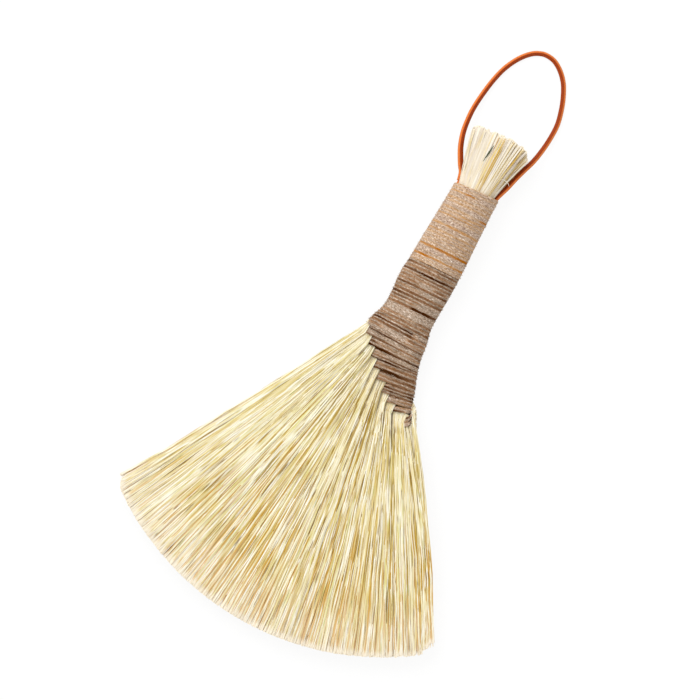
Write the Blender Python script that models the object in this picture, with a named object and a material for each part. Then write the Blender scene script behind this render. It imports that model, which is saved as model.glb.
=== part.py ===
"""Wing broom: ten bundles of straw-coloured fibre, bound with twine, spread into a flat fan.

The broom lies on its back on the plane z = 0. The handle runs along +Y, the fan opens towards -Y.
Every size along the broom is measured down from the binding's butt edge, and an empty then moves
the whole broom so that the origin lies under the flat root of the fan.
"""

import math

import bmesh
import bpy
from mathutils import Vector

# Driving sizes of the binding, in metres
BINDING_LENGTH = 0.1326
GRIP_LENGTH = 0.0936
LIGHT_LENGTH = 0.0500
BUTT_WIDTH = 0.0275
GRIP_WIDTH = 0.0312
NECK_WIDTH = 0.0357
BUTT_THICKNESS = 0.0275
NECK_THICKNESS = 0.0210
TIP_THICKNESS = 0.0120
BUTT_CENTRE_X = -0.0006
NECK_CENTRE_X = -0.0003
TIP_RIGHT_X = 0.0332

# Twine: its width along the handle, its thickness, its pitch and how far the last turn tilts
TWINE_WIDTH = 0.0019
TWINE_THICKNESS = 0.0018
TWINE_PITCH = 0.00244
TILT_LIFT = 0.0016
LEAST_TURN_GAP = 0.0004

# Gap kept between pieces that touch
CLEARANCE = 0.0003

# Fan
FAN_WIDTH = 0.1970
FAN_REACH = 0.2706
ARC_RADIUS = 0.1596
ARC_CENTRE_X = 0.0020
FAN_THICKNESS = 0.0140
ROOT_THICKNESS = 0.0185
FRINGE_LENGTH = 0.0030
RIGHT_EDGE_BULGE = 0.0026

# Tuft at the butt
TUFT_LEFT_X = -0.0187
TUFT_RIGHT_X = 0.0166
TUFT_HEIGHT = 0.0343
TUFT_EDGE_HEIGHT = 0.0300
TUFT_ROOT_HEIGHT = 0.0050
TUFT_ROOT_WIDTH = 0.0186
TUFT_BASE_WIDTH = 0.0162
TUFT_BASE_THICKNESS = 0.0220
TUFT_THICKNESS = 0.0262

# Lace
LACE_DIAMETER = 0.0030
TAIL_LENGTH = 0.0280
# Length over which the stalks close in behind a tail's end
TAIL_EASE = 0.0090
HINGE_HEIGHT = 0.0022

# The origin lies under the flat root of the fan: this far below the butt edge, and this far right
REST_DISTANCE = 0.1550
REST_X = 0.0030

# Relative widths of the bundles, from the staircase's top to its tip
BUNDLE_SHARES = (0.71, 1.34, 1.40, 1.19, 1.13, 1.14, 0.99, 0.84, 0.86, 0.45)
# Turns of twine on each step, from the top step to the tip
STEP_TURNS = (2, 2, 2, 2, 2, 2, 2, 1, 1)

# Places along a bundle's free length, as shares of it: where its underside meets the plane, and
# where its root ends and its strands begin
LANDING_SHARE = 0.13
ROOT_SHARE = 0.34

# Least height of a stalk's side, as a share of the handle's half thickness
STALK_SIDE_SHARE = 0.24
# A strand's tip, as a share of the cell that it fills at its root
STRAND_TIP_SHARE = 0.78
# Stations of the grip along its length, as shares of it
GRIP_STATION_SHARES = (0.12, 0.24, 0.36, 0.48, 0.60, 0.68, 0.76, 0.82, 0.88, 0.94)
# Where the grip is widest, and its waist, as shares of its length
GRIP_WIDEST_SHARE = 0.60
WAIST_SHARE = 0.82
# How much of the growth from the grip's widest to the neck is taken back at the waist
WAIST_DIP_SHARE = 0.22
# How the right edge of the neck swings out: 1 is a straight line
NECK_SWING = 1.45

# How much of the twine's width is its flat face, as a share
TWINE_FACE_SHARE = 0.60

# Counts
TURN_POINTS = 12
STRAND_COLUMNS = 5
STRAND_ROWS = 3
SLICE_COLUMNS = 3
LACE_SEGMENTS = 44
ROUTE_STEPS = 12
TAIL_SEGMENTS = 4
BALL_STEPS = 3
TUBE_RESOLUTION = 2

# Edges that turn by more than this stay sharp, in degrees
SHARP_DEGREES = 38.0
# Turns are counted whole from this little below a whole number
COUNT_EASE = 1e-6

# The lace's route from its left exit round to its right one: x, y above the butt edge, and height.
# It leaves the binding level, droops to the plane and lies on it from half its length on.
LACE_ROUTE = (
    (-0.0126, 0.0046, 0.0137), (-0.0148, 0.0078, 0.0135), (-0.0171, 0.0116, 0.0129),
    (-0.0200, 0.0172, 0.0116), (-0.0225, 0.0247, 0.0096), (-0.0237, 0.0327, 0.0074),
    (-0.0240, 0.0401, 0.0054), (-0.0233, 0.0494, 0.0034), (-0.0218, 0.0593, 0.0021),
    (-0.0194, 0.0680, 0.0017), (-0.0153, 0.0760, 0.0016), (-0.0104, 0.0817, 0.0016),
    (-0.0054, 0.0845, 0.0016), (-0.0010, 0.0850, 0.0016), (0.0034, 0.0840, 0.0016),
    (0.0084, 0.0808, 0.0016), (0.0131, 0.0757, 0.0016), (0.0169, 0.0686, 0.0017),
    (0.0194, 0.0618, 0.0020), (0.0212, 0.0543, 0.0027), (0.0215, 0.0469, 0.0038),
    (0.0209, 0.0383, 0.0058), (0.0194, 0.0296, 0.0082), (0.0171, 0.0222, 0.0103),
    (0.0151, 0.0154, 0.0121), (0.0137, 0.0096, 0.0132), (0.0123, 0.0052, 0.0137),
)

# Each material's linear colour and roughness
STRAW = (0.80, 0.66, 0.36), 0.75
STRAW_INSIDE = (0.62, 0.47, 0.22), 0.80
LIGHT_TWINE = (0.52, 0.37, 0.24), 0.90
DARK_TWINE = (0.36, 0.24, 0.16), 0.90
LEATHER = (0.62, 0.20, 0.06), 0.55


# Small helpers

def mix(start, end, share):
    return start + (end - start) * share


def smooth(share):
    share = min(max(share, 0.0), 1.0)
    return share * share * (3.0 - 2.0 * share)


def clear_scene():
    for thing in list(bpy.data.objects):
        bpy.data.objects.remove(thing, do_unlink=True)


def make_material(name, colour, roughness):
    material = bpy.data.materials.new(name)
    material.use_nodes = True
    shader = material.node_tree.nodes["Principled BSDF"]
    shader.inputs["Base Color"].default_value = (*colour, 1.0)
    shader.inputs["Roughness"].default_value = roughness
    shader.inputs["Metallic"].default_value = 0.0
    return material


def add_object(name, mesh, material, parent):
    mesh.materials.append(material)
    thing = bpy.data.objects.new(name, mesh)
    bpy.context.scene.collection.objects.link(thing)
    thing.parent = parent
    return thing


def loft(name, rings):
    """One closed skin through rings of points, with a flat cap at each end."""
    mesh = bmesh.new()
    loops = [[mesh.verts.new(point) for point in ring] for ring in rings]
    for low, high in zip(loops, loops[1:]):
        for index in range(len(low)):
            following = (index + 1) % len(low)
            mesh.faces.new((low[index], low[following], high[following], high[index]))
    mesh.faces.new(reversed(loops[0]))
    mesh.faces.new(loops[-1])
    return finish_mesh(name, mesh)


def finish_mesh(name, mesh):
    """The mesh's data, with every twisted face cut into flat triangles."""
    bmesh.ops.recalc_face_normals(mesh, faces=mesh.faces)
    bmesh.ops.triangulate(mesh, faces=mesh.faces)
    data = bpy.data.meshes.new(name)
    mesh.to_mesh(data)
    mesh.free()
    data.shade_smooth()
    data.set_sharp_from_angle(angle=math.radians(SHARP_DEGREES))
    return data


# The handle's outline. "Down" is the distance below the butt edge.

BUNDLES = len(BUNDLE_SHARES)
WALL = TWINE_THICKNESS + CLEARANCE
NECK_LENGTH = BINDING_LENGTH - GRIP_LENGTH


def mouth_down(bundle):
    """Where a bundle leaves the binding. Bundle 10 leaves first, bundle 1 at the tip."""
    steps_above = BUNDLES - bundle
    return GRIP_LENGTH + NECK_LENGTH * sum(STEP_TURNS[:steps_above]) / sum(STEP_TURNS)


def weight_left(bundle):
    """Summed widths of the bundles from this one to the tip."""
    return sum(BUNDLE_SHARES[BUNDLES - bundle:])


def grip_width(down):
    widest = GRIP_WIDEST_SHARE * GRIP_LENGTH
    swell = mix(BUTT_WIDTH, GRIP_WIDTH, smooth(down / widest))
    dip = (NECK_WIDTH - GRIP_WIDTH) * WAIST_DIP_SHARE
    waist = WAIST_SHARE * GRIP_LENGTH
    swell -= dip * smooth((down - widest) / (waist - widest))
    return swell + (NECK_WIDTH - GRIP_WIDTH + dip) * smooth((down - waist) / (GRIP_LENGTH - waist))


def thickness(down):
    """Outer thickness of the binding."""
    if down < GRIP_LENGTH:
        return mix(BUTT_THICKNESS, NECK_THICKNESS, smooth(down / GRIP_LENGTH))
    return mix(NECK_THICKNESS, TIP_THICKNESS, (down - GRIP_LENGTH) / NECK_LENGTH)


def centre_x(down):
    return mix(BUTT_CENTRE_X, NECK_CENTRE_X, min(down / GRIP_LENGTH, 1.0))


def right_x(down):
    """Outer right edge of the binding."""
    if down <= GRIP_LENGTH:
        return centre_x(down) + grip_width(down) / 2
    start = NECK_CENTRE_X + NECK_WIDTH / 2
    swing = min((down - GRIP_LENGTH) / NECK_LENGTH, 1.0) ** NECK_SWING
    return mix(start, TIP_RIGHT_X, swing)


def inner_right_x(down):
    """Right side of the stalks. It clears the upper edge of the turn beside it where the neck slants."""
    return right_x(down - TWINE_WIDTH / 2) - WALL


def left_edges():
    """Inner left edge of the stalks that are still bound at each bundle's mouth, bundle 10 first."""
    edges = {BUNDLES: NECK_CENTRE_X - NECK_WIDTH / 2 + WALL}
    for bundle in range(BUNDLES, 0, -1):
        left = edges[bundle]
        room = inner_right_x(mouth_down(bundle)) - left
        edges[bundle - 1] = left + room * BUNDLE_SHARES[BUNDLES - bundle] / weight_left(bundle)
    return edges


LEFT = left_edges()


def outer_left(bundle):
    """Outer face of the twine beside a bundle's mouth."""
    return LEFT[bundle] - WALL


def bound_count(down):
    """Number of bundles still bound, running evenly from one mouth to the next."""
    if down <= GRIP_LENGTH:
        return float(BUNDLES)
    for bundle in range(BUNDLES, 1, -1):
        start, end = mouth_down(bundle), mouth_down(bundle - 1)
        if down <= end:
            return bundle - (down - start) / (end - start)
    return 1.0


def at_count(count, values):
    """Value between two bundles' own values."""
    low = max(int(math.floor(count)), 1)
    high = min(low + 1, BUNDLES)
    return mix(values(low), values(high), count - low)


def tail_room(down):
    """What the lace's tail takes from the stalks at each side of the upper grip."""
    share = smooth((TAIL_LENGTH + CLEARANCE + TAIL_EASE - down) / TAIL_EASE)
    return (LACE_DIAMETER + CLEARANCE) * share


def pack_sides(down):
    """Left and right edges of the whole pack of stalks inside the twine."""
    right = inner_right_x(down) - tail_room(down)
    if down <= GRIP_LENGTH:
        return centre_x(down) - grip_width(down) / 2 + WALL + tail_room(down), right
    return at_count(bound_count(down), lambda bundle: LEFT[bundle]), right


def boundary_x(bundle, down):
    """Left side of a bundle's stalk. Boundary 0 is the right side of the last one."""
    left, right = pack_sides(down)
    total = at_count(bound_count(down), weight_left)
    return right - (right - left) * weight_left(bundle) / total


def bound_middle(down):
    """Half thickness at the lower edge of the turn beside it, which is also the middle's height."""
    return thickness(down + TWINE_WIDTH / 2) / 2


def pack_height(x, down):
    """Half height of the pack of stalks at x: an oval that already fits the next step's turns."""
    left, right = pack_sides(down)
    ahead = bound_count(down + TWINE_WIDTH) - smooth(2 * down / GRIP_LENGTH - 1)
    narrowed = max(left, at_count(max(ahead, 1.0), lambda bundle: LEFT[bundle]))
    if down < GRIP_LENGTH:
        narrowed = mix(left, max(left, LEFT[BUNDLES - 1]), smooth(2 * down / GRIP_LENGTH - 1))
    half = bound_middle(down) - WALL
    shares = []
    for edge in (left, narrowed):
        reach = (2 * x - edge - right) / (right - edge)
        shares.append(math.sqrt(max(1.0 - reach * reach, 0.0)))
    return half * max(min(shares), STALK_SIDE_SHARE)


# The stalks, bound side by side

def stalk_ring(bundle, down):
    """Section of one stalk across the handle, anticlockwise seen from the butt."""
    left = boundary_x(bundle, down)
    right = boundary_x(bundle - 1, down)
    if bundle < BUNDLES:
        left += CLEARANCE / 2
    if bundle > 1:
        right -= CLEARANCE / 2
    middle = bound_middle(down)
    columns = [mix(left, right, index / SLICE_COLUMNS) for index in range(SLICE_COLUMNS + 1)]
    over = [(x, -down, middle + pack_height(x, down)) for x in columns]
    under = [(x, -down, middle - pack_height(x, down)) for x in reversed(columns)]
    return over + under


def make_stalk(bundle, material, parent):
    downs = [CLEARANCE / 2] + [GRIP_LENGTH * share for share in GRIP_STATION_SHARES]
    downs.append(TAIL_LENGTH + 2 * CLEARANCE)
    downs += [mouth_down(above) for above in range(BUNDLES, bundle, -1)]
    downs.append(mouth_down(bundle) - CLEARANCE / 2)
    downs.sort()
    name = f"stalk_{bundle:02d}"
    rings = [stalk_ring(bundle, down) for down in downs]
    return add_object(name, loft(name, rings), material, parent)


# The twine: one long winding, cut where its colour changes and where the staircase begins

FIRST_TURN_DOWN = TWINE_WIDTH / 2
GRIP_TURNS = round((GRIP_LENGTH - FIRST_TURN_DOWN) / TWINE_PITCH)
GRIP_PITCH = (GRIP_LENGTH - FIRST_TURN_DOWN) / GRIP_TURNS
STEP_PITCH = NECK_LENGTH / sum(STEP_TURNS)
ALL_TURNS = GRIP_TURNS + sum(STEP_TURNS)


def turn_bundle(turn):
    """The leftmost bundle that a turn holds."""
    step = int(math.floor(turn + COUNT_EASE)) - GRIP_TURNS
    bundle = BUNDLES
    for count in STEP_TURNS:
        if step < 0:
            break
        bundle -= 1
        step -= count
    return bundle


def turn_place(turn):
    """Centre, outward direction and distance down of the twine after so many turns."""
    angle = 2 * math.pi * turn
    across, up = math.cos(angle), math.sin(angle)
    if turn <= GRIP_TURNS:
        down = FIRST_TURN_DOWN + GRIP_PITCH * turn
    else:
        down = GRIP_LENGTH + STEP_PITCH * (turn - GRIP_TURNS)
        tilt = TILT_LIFT * (turn - GRIP_TURNS) / sum(STEP_TURNS)
        down -= tilt * (1 + across) / 2
    bundle = turn_bundle(turn)
    right = right_x(down)
    if bundle == BUNDLES:
        left = 2 * centre_x(down) - right
    else:
        left = outer_left(bundle)
    flat = 1 / math.cos(math.pi / TURN_POINTS)
    half_width = (right - left) / 2 * flat
    half_height = thickness(down) / 2 * flat
    place = Vector(((left + right) / 2 + half_width * across, -down,
                    thickness(down) / 2 + half_height * up))
    outward = Vector((across * half_height, 0.0, up * half_width)).normalized()
    return place, outward


def twine_rings(first, last):
    """Rings of a winding between two counts of turns, each end in the middle of a straight run."""
    step = 1 / TURN_POINTS
    corners = [(index + 0.5) * step for index in range(math.floor(first / step), math.ceil(last / step))]
    corners = [turn for turn in corners if first < turn < last]
    rings = []
    for turn in corners:
        rings.append(twine_ring(*turn_place(turn)))
    head = run_end(corners[0] - step, corners[0])
    tail = run_end(corners[-1], corners[-1] + step)
    shift = (rings_centre(head) - turn_place(corners[0])[0]).normalized() * CLEARANCE / 2
    head = [point - shift for point in head]
    shift = (rings_centre(tail) - turn_place(corners[-1])[0]).normalized() * CLEARANCE / 2
    tail = [point - shift for point in tail]
    return [head] + rings + [tail]


def rings_centre(ring):
    return sum(ring, Vector()) / len(ring)


def run_end(before, after):
    """Ring halfway along the straight run between two corners."""
    near, far = twine_ring(*turn_place(before)), twine_ring(*turn_place(after))
    return [(low + high) / 2 for low, high in zip(near, far)]


def twine_ring(place, outward):
    """Section of the twine: pressed flat on the bundles, with sloped shoulders outside."""
    along = Vector((0.0, 1.0, 0.0))
    face, base = TWINE_WIDTH * TWINE_FACE_SHARE / 2, TWINE_WIDTH / 2
    inner = place - outward * TWINE_THICKNESS / math.cos(math.pi / TURN_POINTS)
    return [place + along * face, place - along * face, inner - along * base, inner + along * base]


def least_turn_gap(first, last):
    """Least distance between neighbouring turns, read on the rings' points along the handle."""
    rings = twine_rings(first, last)[1:-1]
    gaps = []
    for low, high in zip(rings, rings[TURN_POINTS:]):
        for upper in low:
            for lower in high:
                gaps.append((upper - lower).length)
    return min(gaps)


def make_binding(name, first, last, material, parent):
    gap = least_turn_gap(first, last)
    print(f"{name}: least gap between turns {gap * 1000:.2f} mm, wanted {LEAST_TURN_GAP * 1000:.2f} mm")
    return add_object(name, loft(name, twine_rings(first, last)), material, parent)


# Strands: a solid root whose end is a net of triangles, each drawn out into one strand

def strand_body(name, sections, tips, material, parent):
    """Solid through grids of points, then one three-sided strand for each half cell.

    A section is a grid of rows of points. The last section is the net that the strands stand on,
    and tips is the grid of places where its points would end.
    """
    mesh = bmesh.new()
    rims = [[mesh.verts.new(point) for point in grid_rim(section)] for section in sections[:-1]]
    net = [[mesh.verts.new(point) for point in row] for row in sections[-1]]
    rims.append(grid_rim(net))
    for low, high in zip(rims, rims[1:]):
        for index in range(len(low)):
            following = (index + 1) % len(low)
            mesh.faces.new((low[index], low[following], high[following], high[index]))
    mesh.faces.new(reversed(rims[0]))
    for row in range(len(net) - 1):
        for column in range(len(net[0]) - 1):
            corners = ((row, column), (row, column + 1), (row + 1, column + 1), (row + 1, column))
            for trio in ((0, 1, 2), (0, 2, 3)):
                places = [corners[index] for index in trio]
                add_strand(mesh, places, [net[r][c] for r, c in places], [tips[r][c] for r, c in places])
    return add_object(name, finish_mesh(name, mesh), material, parent)


def grid_rim(grid):
    """The points round the edge of a grid, in order."""
    rim = list(grid[0])
    rim += [row[-1] for row in grid[1:-1]]
    rim += list(reversed(grid[-1]))
    rim += [row[0] for row in reversed(grid[1:-1])]
    return rim


def add_strand(mesh, places, foot, ends):
    """One strand from three points of the net to a smaller triangle at its tip.

    Two strands that share an edge of the net cut their facing sides from the same end of it, the
    one with the lower place in the net, so that they part without crossing.
    """
    middle = sum(ends, Vector()) / len(ends)
    floor = min(end.z for end in ends)
    tip = []
    for end in ends:
        place = middle + (end - middle) * STRAND_TIP_SHARE
        if floor < CLEARANCE and end.z < CLEARANCE:
            place.z = end.z
        tip.append(mesh.verts.new(place))
    for index in range(len(foot)):
        following = (index + 1) % len(foot)
        if places[index] < places[following]:
            mesh.faces.new((foot[index], foot[following], tip[following]))
            mesh.faces.new((foot[index], tip[following], tip[index]))
        else:
            mesh.faces.new((foot[index], foot[following], tip[index]))
            mesh.faces.new((foot[following], tip[following], tip[index]))
    mesh.faces.new(tip)


# The fan

ARC_HALF_ANGLE = math.asin(FAN_WIDTH / 2 / ARC_RADIUS)


def arc_angle(bundle):
    """Angle of the end of a bundle's left side on the arc."""
    share = 1.0 - weight_left(bundle) / weight_left(BUNDLES)
    return mix(-ARC_HALF_ANGLE, ARC_HALF_ANGLE, share)


def arc_place(angle, radius):
    centre_down = FAN_REACH - ARC_RADIUS
    return Vector((ARC_CENTRE_X + radius * math.sin(angle),
                   -(centre_down + radius * math.cos(angle)), 0.0))


def side_start(bundle):
    """Where a bundle's left side leaves the binding. Bundle 0's is the fan's right edge."""
    if bundle == 0:
        return Vector((TIP_RIGHT_X, -BINDING_LENGTH, 0.0))
    return Vector((outer_left(bundle), -mouth_down(bundle), 0.0))


def side_place(bundle, share, side):
    """Point on the line between two bundles. side is -1 for the bundle left of it, 1 for the right."""
    place = side_start(bundle).lerp(arc_place(arc_angle(bundle), ARC_RADIUS), share)
    if bundle == 0:
        place.x += RIGHT_EDGE_BULGE * math.sin(math.pi * share)
    elif bundle < BUNDLES:
        place.x += side * CLEARANCE / 2
    return place


def fan_section(left, right, low, high):
    """Grid of points across a bundle; low and high give its bottom and top at each column."""
    grid = []
    for row in range(STRAND_ROWS + 1):
        points = []
        for column in range(STRAND_COLUMNS + 1):
            share = column / STRAND_COLUMNS
            place = left.lerp(right, share)
            place.z = mix(low(share), high(share), row / STRAND_ROWS)
            points.append(place)
        grid.append(points)
    return grid


def make_fan_bundle(bundle, material, parent):
    down = mouth_down(bundle)
    mouth_left = Vector((outer_left(bundle), -down - CLEARANCE / 2, 0.0))
    mouth_right = Vector((outer_left(bundle - 1) - CLEARANCE, -down - CLEARANCE / 2, 0.0))
    if bundle == 1:
        mouth_right.x = TIP_RIGHT_X - WALL
    middle = thickness(down) / 2

    def mouth_height(share):
        return pack_height(mix(LEFT[bundle], boundary_x(bundle - 1, down), share), down)

    sections = [fan_section(mouth_left, mouth_right, lambda s: middle - mouth_height(s),
                            lambda s: middle + mouth_height(s))]
    if bundle > 1:
        next_down = mouth_down(bundle - 1)
        beside = (next_down - down) / free_drop(bundle)
        left = side_place(bundle, beside, 1)
        right = Vector((outer_left(bundle - 1) - CLEARANCE, -next_down, 0.0))
        low = middle * (1 - beside / LANDING_SHARE) / 2
        high = (middle * 2 + ROOT_THICKNESS) / 2 - TWINE_THICKNESS
        sections.append(fan_section(left, right, lambda s: low, lambda s: high))
    for share in (LANDING_SHARE, ROOT_SHARE):
        left, right = side_place(bundle, share, 1), side_place(bundle - 1, share, -1)
        top = mix(ROOT_THICKNESS, FAN_THICKNESS, share)
        sections.append(fan_section(left, right, lambda s: 0.0, lambda s: top))
    tips = fan_tips(bundle)
    return strand_body(f"fan_bundle_{bundle:02d}", sections, tips, material, parent)


def free_drop(bundle):
    """How far down a bundle's left side runs from its mouth to the arc."""
    return side_place(bundle, 0.0, 1).y - side_place(bundle, 1.0, 1).y


def fan_tips(bundle):
    """Grid of tip places on the arc; the lowest layer reaches furthest and shows as a fringe."""
    edge = CLEARANCE / 2 / ARC_RADIUS
    first, last = arc_angle(bundle) + edge, arc_angle(bundle - 1) - edge
    grid = []
    for row in range(STRAND_ROWS + 1):
        layer = row / STRAND_ROWS
        points = []
        for column in range(STRAND_COLUMNS + 1):
            place = arc_place(mix(first, last, column / STRAND_COLUMNS),
                              ARC_RADIUS - FRINGE_LENGTH * layer)
            place.z = FAN_THICKNESS * layer
            points.append(place)
        grid.append(points)
    return grid


# The tuft at the butt

def tuft_grid(centre, width, depth, height, crown):
    """Oval grid across the tuft; crown is how much its middle stands above its edge."""
    grid = []
    for row in range(STRAND_ROWS + 1):
        v = 2 * row / STRAND_ROWS - 1
        points = []
        for column in range(STRAND_COLUMNS + 1):
            u = 2 * column / STRAND_COLUMNS - 1
            x = centre + width / 2 * u * math.sqrt(1 - v * v / 2)
            z = BUTT_THICKNESS / 2 + depth / 2 * v * math.sqrt(1 - u * u / 2)
            points.append(Vector((x, height + crown * (1 - u * u), z)))
        grid.append(points)
    return grid


def make_tuft(material, parent):
    sections = [
        tuft_grid(BUTT_CENTRE_X, TUFT_BASE_WIDTH, TUFT_BASE_THICKNESS, CLEARANCE / 2, 0.0),
        tuft_grid(BUTT_CENTRE_X, TUFT_ROOT_WIDTH, TUFT_BASE_THICKNESS, TUFT_ROOT_HEIGHT, 0.0),
    ]
    tips = tuft_grid((TUFT_LEFT_X + TUFT_RIGHT_X) / 2, TUFT_RIGHT_X - TUFT_LEFT_X, TUFT_THICKNESS,
                     TUFT_EDGE_HEIGHT, TUFT_HEIGHT - TUFT_EDGE_HEIGHT)
    return strand_body("butt_tuft", sections, tips, material, parent)


# The lace

def tail_place(side, down):
    """Centre of a tail, against the inside of the twine. side is -1 at the left, 1 at the right."""
    reach = grip_width(down) / 2 - WALL - LACE_DIAMETER / 2
    return Vector((centre_x(down) + side * reach, -down, thickness(down) / 2))


def hinge_place(side):
    place = tail_place(side, 0.0)
    return Vector((place.x, HINGE_HEIGHT, place.z))


def smooth_route(points, segments):
    """Evenly spaced points on a smooth curve through the route's own points."""
    dense = []
    for index in range(len(points) - 1):
        before = points[max(index - 1, 0)]
        start, end = points[index], points[index + 1]
        after = points[min(index + 2, len(points) - 1)]
        for step in range(ROUTE_STEPS):
            t = step / ROUTE_STEPS
            dense.append(0.5 * (2 * start + (end - before) * t
                                + (2 * before - 5 * start + 4 * end - after) * t ** 2
                                + (3 * start - before - 3 * end + after) * t ** 3))
    dense.append(points[-1])
    lengths = [0.0]
    for start, end in zip(dense, dense[1:]):
        lengths.append(lengths[-1] + (end - start).length)
    even = []
    at = 0
    for index in range(segments + 1):
        wanted = lengths[-1] * index / segments
        while at < len(dense) - 2 and lengths[at + 1] < wanted:
            at += 1
        share = (wanted - lengths[at]) / (lengths[at + 1] - lengths[at])
        even.append(dense[at].lerp(dense[at + 1], share))
    return even, lengths[-1]


def make_tube(name, places, radii, material, parent):
    """Round tube on a poly spline; radii are shares of the lace's own radius."""
    curve = bpy.data.curves.new(name, "CURVE")
    curve.dimensions = "3D"
    curve.bevel_depth = LACE_DIAMETER / 2
    curve.bevel_resolution = TUBE_RESOLUTION
    curve.use_fill_caps = True
    spline = curve.splines.new("POLY")
    spline.points.add(len(places) - 1)
    for point, place, share in zip(spline.points, places, radii):
        point.co = (*place, 1.0)
        point.radius = share
    return add_object(name, curve, material, parent)


def make_loop(material, parent):
    """The free loop, with a ball at each end whose centre lies on the hinge line."""
    route = [hinge_place(-1)] + [Vector(point) for point in LACE_ROUTE] + [hinge_place(1)]
    places, length = smooth_route(route, LACE_SEGMENTS)
    print(f"leather_loop: free length {length * 1000:.1f} mm")
    head, tail = [], []
    for step in range(BALL_STEPS, 0, -1):
        turn = math.pi / 2 * step / (BALL_STEPS + 1)
        beyond, share = LACE_DIAMETER / 2 * math.sin(turn), math.cos(turn)
        head.append((places[0] + (places[0] - places[1]).normalized() * beyond, share))
        tail.insert(0, (places[-1] + (places[-1] - places[-2]).normalized() * beyond, share))
    rows = head + [(place, 1.0) for place in places] + tail
    return make_tube("leather_loop", [row[0] for row in rows], [row[1] for row in rows],
                     material, parent)


def make_tail(name, side, material, parent):
    start = -HINGE_HEIGHT + LACE_DIAMETER / 2 + CLEARANCE
    downs = [mix(start, TAIL_LENGTH, index / TAIL_SEGMENTS) for index in range(TAIL_SEGMENTS + 1)]
    places = [tail_place(side, max(down, 0.0)) for down in downs]
    places[0].y = -start
    return make_tube(name, places, [1.0] * len(places), material, parent)


def main():
    clear_scene()
    handle = bpy.data.objects.new("handle_frame", None)
    bpy.context.scene.collection.objects.link(handle)
    handle.location = (-REST_X, REST_DISTANCE, 0.0)
    straw = make_material("straw_fibre", *STRAW)
    inside = make_material("bound_fibre", *STRAW_INSIDE)
    light = make_material("light_twine", *LIGHT_TWINE)
    dark = make_material("dark_twine", *DARK_TWINE)
    leather = make_material("tan_leather", *LEATHER)
    for bundle in range(1, BUNDLES + 1):
        make_stalk(bundle, inside, handle)
        make_fan_bundle(bundle, straw, handle)
    colour_change = round(LIGHT_LENGTH / GRIP_PITCH)
    make_binding("binding_light", 0.0, colour_change, light, handle)
    make_binding("binding_dark", colour_change, GRIP_TURNS, dark, handle)
    make_binding("binding_steps", GRIP_TURNS, ALL_TURNS, dark, handle)
    make_tuft(straw, handle)
    make_loop(leather, handle)
    make_tail("leather_tail_left", -1, leather, handle)
    make_tail("leather_tail_right", 1, leather, handle)


main()
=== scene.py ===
"""Looks of the wing broom: straw fan and tuft, wound twine, leather lace, camera and studio."""

import math

import bmesh
import bpy
import numpy as np
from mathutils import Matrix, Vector


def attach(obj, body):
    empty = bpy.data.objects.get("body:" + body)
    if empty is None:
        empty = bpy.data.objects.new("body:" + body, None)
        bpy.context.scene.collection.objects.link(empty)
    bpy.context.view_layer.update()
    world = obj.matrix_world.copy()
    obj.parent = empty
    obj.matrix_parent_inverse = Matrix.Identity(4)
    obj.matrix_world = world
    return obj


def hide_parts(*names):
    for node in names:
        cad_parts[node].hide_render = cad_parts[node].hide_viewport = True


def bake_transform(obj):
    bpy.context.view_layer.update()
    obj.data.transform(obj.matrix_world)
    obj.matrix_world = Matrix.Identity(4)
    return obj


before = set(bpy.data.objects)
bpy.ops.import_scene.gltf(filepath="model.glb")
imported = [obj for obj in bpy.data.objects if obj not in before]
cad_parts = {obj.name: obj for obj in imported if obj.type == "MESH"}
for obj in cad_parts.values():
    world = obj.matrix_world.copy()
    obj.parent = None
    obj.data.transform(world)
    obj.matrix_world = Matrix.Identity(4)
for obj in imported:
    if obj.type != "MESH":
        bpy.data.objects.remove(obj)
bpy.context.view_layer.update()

# The object's own sizes, in metres. x is across the handle, y runs from the butt edge towards the
# loop, z is up from the floor, and "down" is -y. REST moves all of it into the frame.

REST = np.array((-0.003, 0.155, 0.0))

GRIP_LENGTH = 0.0936
BINDING_LENGTH = 0.1326
BUTT_CENTRE_X = -0.0006
BUTT_HALF_WIDTH = 0.01375
NECK_RIGHT_X = 0.01755
TIP_RIGHT_X = 0.0332
WIDEST_DOWN = 0.056
WAIST_DOWN = 0.077
BUTT_THICKNESS = 0.0275
NECK_THICKNESS = 0.021
TIP_THICKNESS = 0.012

FAN_REACH = 0.2706
ARC_RADIUS = 0.1596
ARC_CENTRE_X = 0.002
ARC_HALF_ANGLE = 0.665
ROOT_THICKNESS = 0.0185
FAN_THICKNESS = 0.014

TWINE_THICKNESS = 0.0014
LACE_WIDTH = 0.0024

# The lowest that the middle of a fan fibre may lie above the floor
FLOOR_GAP = 0.0003

# Where each bundle leaves the binding, from bundle 10 at the top of the staircase to bundle 1 at its
# tip: the left side of its mouth, how far down that is, and its share of the fan.
MOUTHS = (
    (-0.01815, 0.0936, 0.071), (-0.0160, 0.0985, 0.134), (-0.0121, 0.1034, 0.140),
    (-0.0075, 0.1082, 0.119), (-0.0034, 0.1131, 0.113), (0.0009, 0.1180, 0.114),
    (0.0069, 0.1229, 0.099), (0.0120, 0.1266, 0.084), (0.0178, 0.1292, 0.086),
    (0.0262, 0.1326, 0.040),
)

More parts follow.
